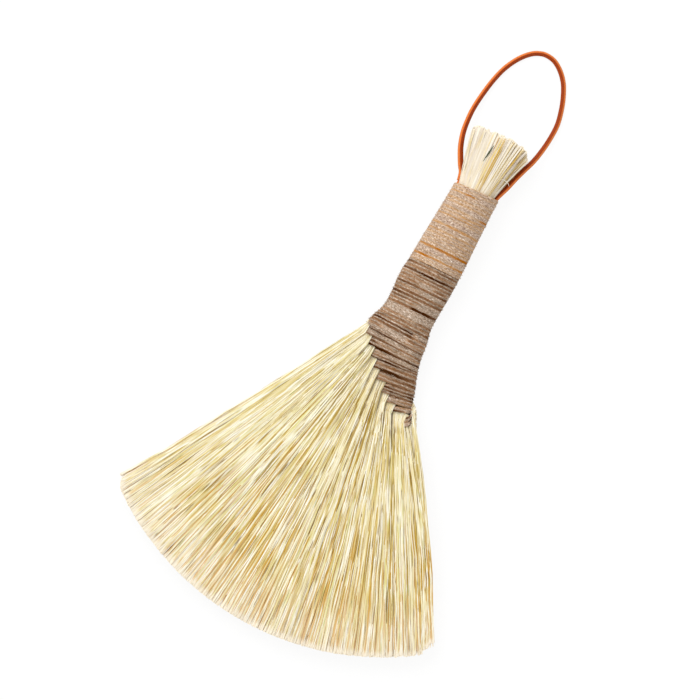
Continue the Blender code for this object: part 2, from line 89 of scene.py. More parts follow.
LACE_ROUTE = (
    (-0.0126, 0.0046, 0.0137), (-0.0148, 0.0078, 0.0135), (-0.0171, 0.0116, 0.0129),
    (-0.0200, 0.0172, 0.0116), (-0.0225, 0.0247, 0.0096), (-0.0237, 0.0327, 0.0074),
    (-0.0240, 0.0401, 0.0054), (-0.0233, 0.0494, 0.0034), (-0.0218, 0.0593, 0.0021),
    (-0.0194, 0.0680, 0.0017), (-0.0153, 0.0760, 0.0016), (-0.0104, 0.0817, 0.0016),
    (-0.0054, 0.0845, 0.0016), (-0.0010, 0.0850, 0.0016), (0.0034, 0.0840, 0.0016),
    (0.0084, 0.0808, 0.0016), (0.0131, 0.0757, 0.0016), (0.0169, 0.0686, 0.0017),
    (0.0194, 0.0618, 0.0020), (0.0212, 0.0543, 0.0027), (0.0215, 0.0469, 0.0038),
    (0.0209, 0.0383, 0.0058), (0.0194, 0.0296, 0.0082), (0.0171, 0.0222, 0.0103),
    (0.0151, 0.0154, 0.0121), (0.0137, 0.0096, 0.0132), (0.0123, 0.0052, 0.0137),
)
LACE_EXITS = ((-0.0113, 0.0, 0.01375), (0.0107, 0.0, 0.01375))


# Camera: straight above, turned so that the handle points to the upper right

def place_camera():
    lens, sensor, seen_width, mid_height = 0.200, 0.036, 0.388, 0.008
    middle_x, middle_y, turn_degrees = -0.0219, 0.0438, 29.0
    data = bpy.data.cameras.new("overhead_camera")
    data.lens, data.sensor_width = lens * 1000, sensor * 1000
    data.clip_start, data.clip_end = 0.01, 10.0
    camera = bpy.data.objects.new("overhead_camera", data)
    camera.location = (middle_x, middle_y, mid_height + seen_width * lens / sensor)
    camera.rotation_euler = (0.0, 0.0, math.radians(turn_degrees))
    bpy.context.scene.collection.objects.link(camera)
    bpy.context.scene.camera = camera


# Small helpers

def linear(code):
    """An sRGB hex colour as linear RGBA."""
    channels = [int(code[at:at + 2], 16) / 255 for at in (1, 3, 5)]
    return (*(c / 12.92 if c <= 0.04045 else ((c + 0.055) / 1.055) ** 2.4 for c in channels), 1.0)


def add_node(tree, kind, inputs=None, stops=None, **settings):
    """A node with its settings, its inputs (values or other nodes' outputs) and a ramp's stops."""
    node = tree.nodes.new(kind)
    for name, value in settings.items():
        setattr(node, name, value)
    for socket, value in (inputs or {}).items():
        if isinstance(value, bpy.types.NodeSocket):
            tree.links.new(value, node.inputs[socket])
        else:
            node.inputs[socket].default_value = value
    if stops:
        ramp = node.color_ramp
        while len(ramp.elements) < len(stops):
            ramp.elements.new(0.5)
        for element, (place, colour) in zip(ramp.elements, stops):
            element.position = place
            element.color = linear(colour) if isinstance(colour, str) else (colour,) * 3 + (1.0,)
    return node


def smooth(value, start=0.0, end=1.0):
    share = np.clip((value - start) / (end - start), 0.0, 1.0)
    return share * share * (3.0 - 2.0 * share)


def unit(vectors):
    return vectors / np.linalg.norm(vectors, axis=-1, keepdims=True)


def level_up(lines):
    """The direction straight up, for each point of the lines."""
    return np.broadcast_to(np.array((0.0, 0.0, 1.0)), lines.shape)


def add_piece(name, mesh, material, body="broom"):
    piece = bpy.data.objects.new(name, mesh)
    bpy.context.scene.collection.objects.link(piece)
    mesh.materials.append(material)
    if body:
        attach(piece, body)
    return piece


def write_attribute(mesh, name, values):
    layer = mesh.attributes.new(name, "FLOAT", "POINT")
    layer.data.foreach_set("value", np.asarray(values, np.float32))


# Tubes: a flat strip of faces, rolled up round a route

def roll_up(name, places, outs, alongs, section):
    """Rolls a strip round the route. outs and alongs are the section's two directions at each place,
    and section gives its outline there, one (out, along) pair for each column."""
    rows, columns = len(places) - 1, section.shape[1] - 1
    strip = bmesh.new()
    strip.loops.layers.uv.new("UVMap")
    bmesh.ops.create_grid(strip, x_segments=columns, y_segments=rows, size=1.0, calc_uvs=True)
    mesh = bpy.data.meshes.new(name)
    strip.to_mesh(mesh)
    flat = np.zeros(len(mesh.vertices) * 3)
    mesh.vertices.foreach_get("co", flat)
    flat = flat.reshape(-1, 3)
    column = np.rint((flat[:, 0] + 1) / 2 * columns).astype(int)
    row = np.rint((flat[:, 1] + 1) / 2 * rows).astype(int)
    shape = section[row, column]
    rolled = places[row] + outs[row] * shape[:, :1] + alongs[row] * shape[:, 1:]
    mesh.vertices.foreach_set("co", (rolled + REST).ravel())
    strip.clear()
    strip.from_mesh(mesh)
    bmesh.ops.remove_doubles(strip, verts=strip.verts, dist=1e-7)
    bmesh.ops.holes_fill(strip, edges=strip.edges, sides=columns + 1)
    bmesh.ops.recalc_face_normals(strip, faces=strip.faces)
    strip.to_mesh(mesh)
    strip.free()
    mesh.shade_smooth()
    return mesh


def rounded_reach(angle, squareness):
    """From the middle to a rounded outline. Squareness 2 is an oval, and 4 is nearly a square."""
    return (np.abs(np.cos(angle)) ** squareness + np.abs(np.sin(angle)) ** squareness) ** (-1 / squareness)


def rounded_outline(columns, half_out, half_along, squareness, turn=0.0):
    """A closed outline as (out, along) pairs. turn shifts its corners round it, in radians."""
    angle = np.linspace(0.0, 2 * math.pi, columns + 1)
    reach = rounded_reach(angle, squareness)
    out, along = reach * np.cos(angle), reach * np.sin(angle)
    return np.stack((half_out * (out * math.cos(turn) - along * math.sin(turn)),
                     half_along * (out * math.sin(turn) + along * math.cos(turn))), axis=-1)


def even_route(points, count):
    """Evenly spaced points on a smooth curve through the given ones, and the curve's length."""
    points = np.array(points)
    ends = np.vstack((2 * points[0] - points[1], points, 2 * points[-1] - points[-2]))
    dense = []
    for before, start, end, after in zip(ends, ends[1:], ends[2:], ends[3:]):
        t = np.linspace(0.0, 1.0, 24, endpoint=False)[:, None]
        squared = 2 * before - 5 * start + 4 * end - after
        cubed = 3 * start - before - 3 * end + after
        dense.append(0.5 * (2 * start + (end - before) * t + squared * t ** 2 + cubed * t ** 3))
    dense = np.vstack(dense + [points[-1:]])
    gone = np.concatenate(([0.0], np.cumsum(np.linalg.norm(np.diff(dense, axis=0), axis=1))))
    wanted = np.linspace(0.0, gone[-1], count)
    return np.stack([np.interp(wanted, gone, dense[:, axis]) for axis in range(3)], axis=1), gone[-1]


# Strands: one three-sided fibre, doubled until there are enough, then laid along its own lines

# Where a fan fibre's rings lie along its free length; the first one is hidden in the binding
RING_SHARES = (0.0, 0.0, 0.035, 0.09, 0.17, 0.26, 0.36, 0.47, 0.58, 0.69, 0.80, 0.90, 1.0)
SHORT_RINGS = 5
FULL_DOUBLINGS = 11
SLIM_DOUBLINGS = 10
# Spread of the fibres' roll out of level, in radians
FIBRE_ROLL = 0.3


def fibre_stock(doublings, rings):
    """A sheaf of equal fibres, all at the same place. The layer "fibre" holds each one's number."""
    sheaf = bmesh.new()
    number = sheaf.verts.layers.int.new("fibre")
    bmesh.ops.create_cone(sheaf, cap_ends=True, segments=3, radius1=1.0, radius2=1.0, depth=1.0)
    bmesh.ops.translate(sheaf, verts=sheaf.verts, vec=(0.0, 0.0, 0.5))
    upright = [edge for edge in sheaf.edges if abs(edge.verts[0].co.z - edge.verts[1].co.z) > 0.5]
    bmesh.ops.subdivide_edges(sheaf, edges=upright, cuts=rings - 2, use_grid_fill=True)
    for doubling in range(doublings):
        made = bmesh.ops.duplicate(sheaf, geom=sheaf.verts[:] + sheaf.edges[:] + sheaf.faces[:])
        for vert in made["geom"]:
            if isinstance(vert, bmesh.types.BMVert):
                vert[number] += 2 ** doubling
    mesh = bpy.data.meshes.new("fibre_stock")
    sheaf.to_mesh(mesh)
    sheaf.free()
    return mesh


def fibre_numbers(mesh):
    fibre = np.zeros(len(mesh.vertices), int)
    mesh.attributes["fibre"].data.foreach_get("value", fibre)
    return fibre


def lay_fibres(name, stock, lines, width, thickness, up, tones, depths):
    """Lays a copy of the stock along lines[fibre, ring]. Each fibre has one flat side up, rolled a
    little. width has a value for each fibre and ring."""
    mesh = stock.copy()
    mesh.name = name
    flat = np.zeros(len(mesh.vertices) * 3)
    mesh.vertices.foreach_get("co", flat)
    flat = flat.reshape(-1, 3)
    fibre = fibre_numbers(mesh)
    rings = lines.shape[1]
    ring = np.rint(flat[:, 2] * (rings - 1)).astype(int)
    tangents = unit(np.gradient(lines, axis=1))
    level = unit(np.cross(up, tangents))
    upright = np.cross(tangents, level)
    roll = np.random.default_rng(len(lines)).normal(0.0, FIBRE_ROLL, (len(lines), 1, 1))
    sides = level * np.cos(roll) + upright * np.sin(roll)
    ups = np.cross(tangents, sides)
    half = width[fibre, ring] / 2
    laid = (lines[fibre, ring] - sides[fibre, ring] * (flat[:, :1] * half[:, None])
            - ups[fibre, ring] * (flat[:, 1:2] * (half * thickness)[:, None]))
    mesh.vertices.foreach_set("co", (laid + REST).ravel())
    write_attribute(mesh, "tone", tones[fibre])
    write_attribute(mesh, "depth", depths[fibre])
    write_attribute(mesh, "along", ring / (rings - 1))
    return mesh


def waves(rng, count, shares, reach, length, least=0.03, most=0.08):
    """Sideways waves for each fibre, which grow from nothing at the root. least and most are the
    shortest and the longest wave, in metres."""
    swing = rng.uniform(0.2, 1.0, (count, 1)) * reach
    turns = length / rng.uniform(least, most, (count, 1))
    start = rng.uniform(0.0, 2 * math.pi, (count, 1))
    return swing * np.sin(start + 2 * math.pi * turns * shares) * smooth(shares, 0.0, 0.35)


# The handle's outline

def stair_share(down):
    """How far down the staircase a place is: 0 at its top and above, 1 at its tip."""
    return np.clip((down - GRIP_LENGTH) / (BINDING_LENGTH - GRIP_LENGTH), 0.0, 1.0)


def centre_x(down):
    return BUTT_CENTRE_X + 0.0003 * np.clip(down / GRIP_LENGTH, 0.0, 1.0)


def right_edge(down):
    """The handle's right side: it swells, narrows to a waist and then swings out to the tip."""
    half_width = BUTT_HALF_WIDTH + 0.00185 * smooth(down, 0.0, WIDEST_DOWN)
    half_width = half_width - 0.0005 * smooth(down, WIDEST_DOWN, WAIST_DOWN)
    half_width = half_width + 0.00275 * smooth(down, WAIST_DOWN, GRIP_LENGTH)
    swing = NECK_RIGHT_X + (TIP_RIGHT_X - NECK_RIGHT_X) * stair_share(down) ** 1.45
    return np.where(down <= GRIP_LENGTH, centre_x(down) + half_width, swing)


def handle_thickness(down):
    grip = BUTT_THICKNESS - (BUTT_THICKNESS - NECK_THICKNESS) * smooth(down, 0.0, GRIP_LENGTH)
    stair = NECK_THICKNESS - (NECK_THICKNESS - TIP_THICKNESS) * stair_share(down)
    return np.where(down <= GRIP_LENGTH, grip, stair)


# Twine

LIGHT_TURNS = 24
GRIP_TURNS = 46
STEP_TURNS = (3, 2, 3, 2, 2, 3, 2, 1, 1)
ALL_TURNS = GRIP_TURNS + sum(STEP_TURNS)
FIRST_DOWN = 0.0022
LAST_DOWN = 0.1336
FIRST_PITCH = 0.0020
LAST_PITCH = 0.0028
# A turn's width over its pitch: above 1, so that neighbours overlap and hide what is between them
TURN_OVERLAP = 1.22
POINTS_PER_TURN = 44
SECTION_COLUMNS = 16
# How softly a marked line begins and ends
LINE_FADE = 0.0015

STEP_ENDS = np.cumsum((GRIP_TURNS,) + STEP_TURNS)
TURN_DOWNS = np.array([mouth[1] for mouth in MOUTHS])
STEP_LEFTS = np.array([0.0] + [mouth[0] for mouth in MOUTHS[1:]] + [MOUTHS[-1][0]])


def turn_down(turn):
    """How far down the twine is after so many turns."""
    counts = np.concatenate(([0.0], STEP_ENDS, [ALL_TURNS + 1]))
    downs = np.concatenate(([FIRST_DOWN], TURN_DOWNS, [LAST_DOWN]))
    return np.interp(turn, counts, downs)


def twine_at(turn):
    """Middle of the twine's outer face after so many turns, its outward direction and its pitch."""
    angle = 2 * math.pi * turn
    down = turn_down(turn)
    pitch = turn_down(turn + 0.5) - turn_down(turn - 0.5)
    pitch = np.where(turn > ALL_TURNS - 0.5, LAST_PITCH, np.where(turn < 0.5, FIRST_PITCH, pitch))

    # The section is oval down the grip. On the staircase it is squarer, most of all on its left
    squareness = 2.0 + smooth(down, 0.086, 0.096) * (0.8 + 4.0 * smooth(-np.cos(angle), 0.0, 0.3))
    reach = rounded_reach(angle, squareness)
    across, over = reach * np.cos(angle), reach * np.sin(angle)

    # Each turn climbs towards its right end, by more or less from place to place
    climb = 0.0016 - 0.0010 * smooth(down, 0.0, 0.012) + 0.0004 * smooth(down, 0.035, 0.05)
    climb = climb - 0.0010 * smooth(down, 0.072, 0.088) + 0.0025 * smooth(down, 0.094, 0.112)
    wobble = 0.00012 * np.sin(1.7 * turn) + 0.00010 * np.sin(5.3 * turn + 1.0) * over
    down = down - climb * (1 + across) / 2 + wobble

    right = right_edge(down) - 0.0011 * smooth(down, 0.113, 0.124)
    inset = 0.0011 - 0.0007 * smooth(down, 0.050, 0.058) + 0.0006 * smooth(down, 0.062, 0.072)
    inset = inset - 0.0010 * smooth(down, 0.080, 0.091)
    step = np.searchsorted(STEP_ENDS, turn + 1e-6, side="right")
    step_left = STEP_LEFTS[np.minimum(step, len(STEP_LEFTS) - 1)]
    left = np.where(step == 0, 2 * centre_x(down) - right + inset, step_left)

    half_width, half_height = (right - left) / 2, handle_thickness(down) / 2
    place = np.stack(((left + right) / 2 + half_width * across, -down, half_height * (1 + over)), axis=-1)
    side = np.sign(across) * np.abs(across) ** (squareness - 1)
    top = np.sign(over) * np.abs(over) ** (squareness - 1)
    out = unit(np.stack((side * half_height, np.zeros_like(down), top * half_width), axis=-1))
    return place, out, pitch


def seam_strength(rng, turn, x, gain, lines):
    """How strongly the painted shade line below each turn shows: faintly and unevenly, and fully along
    the marked stretches of the upper side. The free end beyond the last turn has none."""
    whole = np.maximum(np.floor(turn).astype(int), 0)
    count = whole[-1] + 1
    starts = rng.uniform(0.0, 2 * math.pi, (3, count))[:, whole]
    base = rng.uniform(-0.5 * gain, gain, count)[whole]
    angle = 2 * math.pi * turn
    faint = base + 0.25 * gain * (np.sin(angle + starts[0]) + np.sin(2 * angle + starts[1]))
    strength = np.clip(faint, 0.0, 1.0)
    ripple = 1 + 0.18 * np.sin(3 * angle + starts[2])
    middles = turn_down(np.arange(count) + 0.25) + 0.0004
    for down, start, end, full in lines:
        nearest = int(np.abs(middles - down).argmin())
        begun = smooth(x, start - LINE_FADE, start + LINE_FADE)
        ended = smooth(x, end - LINE_FADE, end + LINE_FADE)
        upper = (whole == nearest) & (turn - whole <= 0.5)
        marked = full * ripple * begun * (1 - ended)
        strength = np.where(upper, np.maximum(strength, marked), strength)
    strength = np.where(turn > ALL_TURNS - 0.45, 0.0, strength)
    return np.clip(strength, 0.0, 1.0) ** 0.55


def wind_twine(name, first, last, material, node, seed, gain, lines):
    """One stretch of the winding, with the strength of the painted shade in its seams as an attribute."""
    rng = np.random.default_rng(seed)
    turns = np.linspace(first, last, int((last - first) * POINTS_PER_TURN) + 1)
    places, outs, pitches = twine_at(turns)
    along = np.tile((0.0, -1.0, 0.0), (len(turns), 1))
    outline = rounded_outline(SECTION_COLUMNS, TWINE_THICKNESS / 2, 0.5, 5.0)
    section = np.repeat(outline[None], len(turns), axis=0)
    section[:, :, 1] *= (pitches * TURN_OVERLAP)[:, None]
    section *= rng.uniform(0.97, 1.05, (len(turns), 1, 1))
    section[:, :, 0] = np.minimum(section[:, :, 0] - TWINE_THICKNESS / 2, 0.0)
    mesh = roll_up(name, places, outs, along, section)

    # A face corner's seam is the one below its turn, or the one above, which is the turn before's
    with_one_before = np.concatenate((turns[:POINTS_PER_TURN] - 1, turns))
    strength = seam_strength(rng, with_one_before, twine_at(with_one_before)[0][:, 0], gain, lines)
    below, above = strength[POINTS_PER_TURN:], strength[:len(turns)]
    values = np.zeros(len(mesh.loops) * 2)
    mesh.uv_layers[0].data.foreach_get("uv", values)
    values = values.reshape(-1, 2)
    at = np.rint(values[:, 1] * (len(turns) - 1)).astype(int)
    side = np.sin(values[:, 0] * 2 * math.pi)
    seam = np.where(side > 0, below[at], above[at])
    layer = mesh.attributes.new("seam", "FLOAT", "CORNER")
    layer.data.foreach_set("value", seam.astype(np.float32))

    piece = add_piece(name, mesh, material)
    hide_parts(node)
    return piece


def lay_fuzz(name, stock, count, first, last, material, seed):
    """Loose hairs on the winding. Real ones are about 0.03 mm thick; these are drawn coarser to show."""
    rng = np.random.default_rng(seed)
    start = rng.uniform(first, last, count)
    reach = rng.uniform(0.02, 0.07, count)
    shares = np.linspace(-0.5, 0.5, SHORT_RINGS)
    turns = np.clip(start[:, None] + reach[:, None] * shares, first, last)
    places, outs, pitches = twine_at(turns)
    shift = rng.uniform(-0.30, 0.30, (count, 1)) * pitches
    slope = rng.normal(0.0, 0.0006, (count, 1)) * shares
    stand = rng.uniform(0.0, 1.0, (count, 1)) ** 3 * 0.0007
    lift = 0.00005 + stand * (1 - (2 * shares - rng.uniform(-0.8, 0.8, (count, 1))) ** 2)
    lines = places + outs * lift[..., None]
    lines[..., 1] -= shift + slope
    lines[..., 2] = np.maximum(lines[..., 2], 0.0002)
    width = rng.uniform(0.00006, 0.00015, (count, 1)) * np.ones(SHORT_RINGS)
    up = np.broadcast_to(np.array((0.0, 1.0, 0.001)), lines.shape)
    mesh = lay_fibres(name, stock, lines, width, 1.0, up, rng.uniform(0.0, 1.0, count), np.zeros(count))
    return add_piece(name, mesh, material)


# Fan

# Fibres gather in locks, so many across the whole fan. The wanders are shares of its width
LOCKS = 120
LOCK_WANDER = 0.0022
FIBRE_WANDER = 0.005
STRAY_WANDER = 0.022
STRAY_SHARE = 0.12
# How far into the binding a fibre reaches, the length that its waves are worked out from, and the
# shortest and the longest of the fine waves
HIDDEN_ROOT = 0.0022
FIBRE_LENGTH = 0.15
FINE_WAVES = (0.025, 0.06)
# Share of a bundle's height above which a fibre belongs to its upper layer
UPPER_LAYER = 0.8


def fan_angle(share):
    """Direction of a share of the fan's width. The right corner reaches a little further out."""
    return (2 * share - 1) * ARC_HALF_ANGLE * (1 + 0.037 * smooth(share, 0.8, 1.0))


def arc_point(angle, radius):
    return (ARC_CENTRE_X + radius * np.sin(angle),
            -(FAN_REACH - ARC_RADIUS + radius * np.cos(angle)))


def place_in_fan(rng, index, u, w):
    """Where each fibre of a bundle ends: its share of the fan's width, whether it strays, its lock,
    how many locks there are, and how near it lies to a parting by the root and by the arc."""
    count = len(u)
    shares = np.array([mouth[2] for mouth in MOUTHS])
    edges = np.concatenate(([0.0], np.cumsum(shares) / shares.sum()))
    wander = rng.normal(0.0, FIBRE_WANDER, count)
    fan_share = edges[index] + (edges[index + 1] - edges[index]) * u + wander
    locks = np.arange(edges[index] - 0.03, edges[index + 1] + 0.03, 1 / LOCKS)
    locks = locks + rng.normal(0.0, LOCK_WANDER, len(locks))
    lock_place = np.interp(fan_share, locks, np.arange(len(locks)))
    lock = np.rint(lock_place).astype(int)
    far_gap = 2 * np.abs(lock_place - lock)
    near_gap = 2 * np.abs(lock_place / 3 - np.rint(lock_place / 3))
    pull = rng.uniform(0.1, 0.6, count) * smooth(w, 0.80, 0.92)
    fan_share = fan_share + (locks[lock] - fan_share) * pull
    stray = (w > UPPER_LAYER) & (rng.uniform(0.0, 1.0, count) < STRAY_SHARE)
    fan_share = np.where(stray, fan_share + rng.normal(0.0, STRAY_WANDER, count), fan_share)
    fan_share = np.where(fan_share < 0, -fan_share * 0.3, fan_share)
    fan_share = np.where(fan_share > 1, 1 - (fan_share - 1) * 0.3, fan_share)
    return fan_share, stray, lock, len(locks), near_gap, far_gap


def lay_fan_bundle(index, stock, count, material):
    """One bundle, from its mouth in the staircase to the arc. index 0 is bundle 10."""
    rng = np.random.default_rng(400 + index)
    left, down, _ = MOUTHS[index]
    last = index == len(MOUTHS) - 1
    right = TIP_RIGHT_X - 0.001 if last else MOUTHS[index + 1][0]
    if index == len(MOUTHS) - 2:
        # Bundle 2 reaches a little over bundle 1's mouth
        right += 0.0008

    # u is a fibre's place across the mouth, and w its place in the bundle's height, from 0 at the
    # bottom to 1. More of them lie high than low
    u = (rng.permutation(count) + rng.uniform(0.0, 1.0, count)) / count
    w = rng.uniform(0.0, 1.0, count)
    w = np.where(rng.uniform(0.0, 1.0, count) < 0.45, np.sqrt(w), w)
    fan_share, stray, lock, lock_count, near_gap, far_gap = place_in_fan(rng, index, u, w)

    # The trimmed ends: uneven, shorter in the fan's two corners, and a few far too short
    corner = smooth(np.abs(2 * fan_share - 1), 0.93, 1.0)
    trim = np.minimum(rng.exponential(0.0007, count), 0.003) + 0.0035 * corner + 0.0008 * (1 - w)
    short = rng.uniform(0.0, 1.0, count) < 0.10
    trim = trim + np.where(short, rng.uniform(0.002, 0.03, count), 0.0)
    end_x, end_y = arc_point(fan_angle(fan_share), ARC_RADIUS + 0.0006 - trim)

    # The mouth: its fibres fill the handle's rounded section there
    start_x = left + (right - left) * u
    start_y = np.full(count, -down)
    # Towards a mouth's right side the fibres turn later, by up to this share of their length
    straight = 0.0 if last else 0.033
    middle = handle_thickness(down) / 2
    span = (TIP_RIGHT_X if last else right_edge(down)) - left
    oval = np.clip(1 - np.abs(2 * (start_x - left) / span - 1) ** 3.6, 0.35, 1.0) ** (1 / 3.6)
    half = (middle - 0.0012) * oval
    if last:
        # Some of the last bundle's fibres come out beside the twine, up along its right side
        beside = rng.uniform(0.0, 1.0, count) < 0.30
        slide = rng.uniform(0.0, 1.0, count)
        start_y = np.where(beside, -0.1212 - 0.0110 * slide, start_y)
        outward = 0.0026 * rng.uniform(0.0, 1.0, count) * smooth(slide, 0.0, 0.3)
        start_x = np.where(beside, right_edge(-start_y) - 0.0017 + outward, start_x)
        half = np.where(beside, 0.7 * middle, half)
        end_share = np.where(beside, 1 - 0.05 * (1 - u), fan_share)
        end_x, end_y = arc_point(fan_angle(end_share), ARC_RADIUS - trim - 0.0015)

    # Seen from above: straight from mouth to arc, bulging a little on the right, with the left
    # corner flaring outward, and wavy
    s = np.array(RING_SHARES)
    held = (straight * u)[:, None]
    x = start_x[:, None] + (end_x - start_x)[:, None] * np.clip((s - held) / (1 - held), 0.0, 1.0)
    y = start_y[:, None] + (end_y - start_y)[:, None] * s
    y[:, 0] = start_y + HIDDEN_ROOT
    x = x + 0.0031 * np.sin(math.pi * s) * smooth(fan_share, 0.90, 1.0)[:, None]
    flare = 0.0024 * s ** 4 * smooth(1 - 2 * fan_share, 0.9, 1.0)[:, None]
    x = x - 0.79 * flare + waves(rng, lock_count, s, 0.0006, FIBRE_LENGTH)[lock]
    x = x + waves(rng, count, s, 0.0002, FIBRE_LENGTH, *FINE_WAVES)
    y = y + 0.62 * flare

    # Seen from the side: from the mouth's height to the fan's, which thins towards the arc
    crown = 1 - 0.08 * (2 * u - 1)[:, None] ** 2 * (1 - smooth(s, 0.1, 0.5))
    top = (ROOT_THICKNESS + (FAN_THICKNESS - ROOT_THICKNESS) * s) * crown
    ease = smooth(s, 0.0, 0.16)
    low = (middle - half)[:, None] * (1 - ease) + FLOOR_GAP
    high = (middle + half)[:, None] * (1 - ease) + (top - FLOOR_GAP) * ease
    level = np.where(w > UPPER_LAYER, 0.93 + (w - UPPER_LAYER) * 0.35, w * 0.93 / UPPER_LAYER)
    z = low + (high - low) * level[:, None]
    z = np.clip(z + waves(rng, count, s, 0.0003, FIBRE_LENGTH, *FINE_WAVES), FLOOR_GAP, None)
    lines = np.stack((x, y, z), axis=-1)

    # Real fibres are about 0.3 mm thick, and most of these are drawn wider, so that they show. Golden
    # ones, whose own tone is low, are narrower. Each lock adds a tone of its own. The fan is paler
    # towards its left edge, and the painted shade in its partings is weaker towards both edges
    size = rng.uniform(0.00030, 0.00072, (count, 1)) + 0.00014 * (w > UPPER_LAYER)[:, None]
    size = np.where(stray[:, None], 0.0005, size)
    width = size * (0.75 + 0.30 * s)
    width[:, -1] *= 0.8
    own_tones = np.clip(0.53 + 1.5 * (rng.uniform(0.0, 1.0, count) - 0.5), 0.0, 1.0)
    width = width * (0.72 + 0.40 * smooth(own_tones, 0.0, 0.5))[:, None]
    tones = 0.82 * own_tones + 0.18 * rng.uniform(0.0, 1.0, lock_count)[lock]
    paler = 0.14 * (1 - smooth(fan_share, 0.0, 0.4)) - 0.03 * smooth(fan_share, 0.7, 1.0)
    left_edge = 1 - smooth(fan_share, 0.0, 0.35)
    tip_side = smooth(fan_share, 0.80, 0.93)
    tones = np.clip(tones + paler, 0.0, 0.97 - 0.09 * left_edge)
    near_gap = near_gap * (1 - 0.25 * left_edge - 0.3 * tip_side)
    far_gap = far_gap * (1 - 0.25 * left_edge)

    mesh = lay_fibres(f"fan_straw_{10 - index:02d}", stock, lines, width, 0.5, level_up(lines),
                      np.where(stray, 0.85, tones), 1 - w)
    fibre = fibre_numbers(mesh)
    # Nearness to the partings, which the material darkens with painted shade
    write_attribute(mesh, "near_gap", np.where(stray, 0.0, near_gap)[fibre])
    write_attribute(mesh, "far_gap", np.where(stray, 0.0, far_gap)[fibre])
    piece = add_piece(mesh.name, mesh, material)
    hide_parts(f"fan_bundle_{10 - index:02d}")
    return piece


# Tuft

# The trimmed edge seen from above, as x and height above the binding, and the tuft's middle height
TUFT_TOP = ((-0.0187, 0.0305), (-0.0166, 0.0321), (-0.006, 0.0333), (0.0051, 0.0343),
            (0.0128, 0.0330), (0.0165, 0.0290))
TUFT_MIDDLE_Z = 0.01375


def lay_tuft(stock, count, material):
    rng = np.random.default_rng(77)
    round_turn = rng.uniform(0.0, 2 * math.pi, count)
    reach = rng.uniform(0.0, 1.0, count) ** np.where(rng.uniform(0.0, 1.0, count) < 0.62, 0.5, 0.12)
    across, over = reach * np.cos(round_turn), reach * np.sin(round_turn)
    base_x = -0.0003 + 0.0100 * across
    base_z = TUFT_MIDDLE_Z + 0.0118 * over
    top_x = -0.0011 + 0.0174 * across + rng.normal(0.0, 0.0006, count)
    top_x = np.clip(top_x, -0.0188, 0.0166)
    top_z = np.clip(TUFT_MIDDLE_Z + 0.0134 * over, 0.0006, None)
    top_y = np.interp(top_x, [p[0] for p in TUFT_TOP], [p[1] for p in TUFT_TOP])
    notches = np.interp(top_x, np.arange(-0.020, 0.020, 0.0013), rng.uniform(0.0, 0.0016, 31))
    top_y = top_y + 0.0004 - notches - rng.uniform(0.0, 1.0, count) ** 2 * 0.0018 - 0.001 * np.abs(over)
    s = np.linspace(0.0, 1.0, SHORT_RINGS)
    spread = s ** (0.85 + 0.45 * smooth(across, 0.3, 0.9))[:, None]
    x = base_x[:, None] + (top_x - base_x)[:, None] * spread + waves(rng, count, s, 0.0003, 0.034, 0.02, 0.05)
    y = -0.003 + (top_y + 0.003)[:, None] * s
    z = base_z[:, None] + (top_z - base_z)[:, None] * spread
    lines = np.stack((x, y, z), axis=-1)
    width = rng.uniform(0.0006, 0.0012, (count, 1)) * (1.0 - 0.1 * s)
    tones = rng.uniform(0.0, 1.0, count)
    # Painted shade: the fibres on the tuft's left side take only the pale grey upper end of the ramp, with no
    # golden ones
    tones = np.where(top_x < -0.010, 0.6 + 0.35 * tones, tones)
    mesh = lay_fibres("tuft_straw", stock, lines, width, 0.5, level_up(lines), tones, 0.25 * (1 - reach))
    piece = add_piece("tuft_straw", mesh, material)
    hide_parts("butt_tuft")
    return piece


# A pale straw that has come loose over the lace, and a dark one in the upper side of the tuft
STRAY_STRAW = ((0.0076, 0.0106, 0.0234), (0.0094, 0.0117, 0.0222), (0.0112, 0.0118, 0.0200),
               (0.0129, 0.0114, 0.0174), (0.0143, 0.0103, 0.0152))
DARK_STRAW = ((-0.0052, 0.0150, 0.0258), (-0.0050, 0.0178, 0.0263), (-0.0048, 0.0204, 0.0267),
              (-0.0045, 0.0230, 0.0271), (-0.0042, 0.0256, 0.0272))


def lay_one_straw(name, points, width, material):
    """A single straw through the points, tapered towards both ends."""
    lines = np.array(points)[None]
    rings = len(points)
    widths = width * np.sin(np.linspace(0.25, math.pi - 0.25, rings))[None]
    stock = fibre_stock(0, rings)
    mesh = lay_fibres(name, stock, lines, widths, 0.8, level_up(lines), np.zeros(1), np.zeros(1))
    return add_piece(name, mesh, material)


# Lace

LACE_POINTS = 261
LACE_COLUMNS = 24
LACE_SQUARENESS = 4.5
LACE_ROLL = math.radians(38)


def make_lace(material):
    """A squarish strip, rolled so that its smooth and its rough side both show, and a little thicker
    towards its two ends."""
    route, length = even_route((LACE_EXITS[0],) + LACE_ROUTE + (LACE_EXITS[1],), LACE_POINTS)
    tangents = unit(np.gradient(route, axis=0))
    outs = unit(np.cross(level_up(route), tangents))
    ups = np.cross(tangents, outs)
    outline = rounded_outline(LACE_COLUMNS, LACE_WIDTH / 2, LACE_WIDTH / 2, LACE_SQUARENESS, LACE_ROLL)
    section = np.repeat(outline[None], len(route), axis=0)
    legs = 1 + 0.10 * (1 - smooth(route[:, 1], 0.01, 0.045))
    section *= legs[:, None, None]
    mesh = roll_up("leather_lace", route, outs, ups, section)
    piece = add_piece("leather_lace", mesh, material, body=None)
    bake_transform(piece)
    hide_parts("leather_loop")
    return piece


# Materials

def new_material(name):
    material = bpy.data.materials.new(name)
    material.use_nodes = True
    tree = material.node_tree
    tree.nodes.clear()
    return material, tree


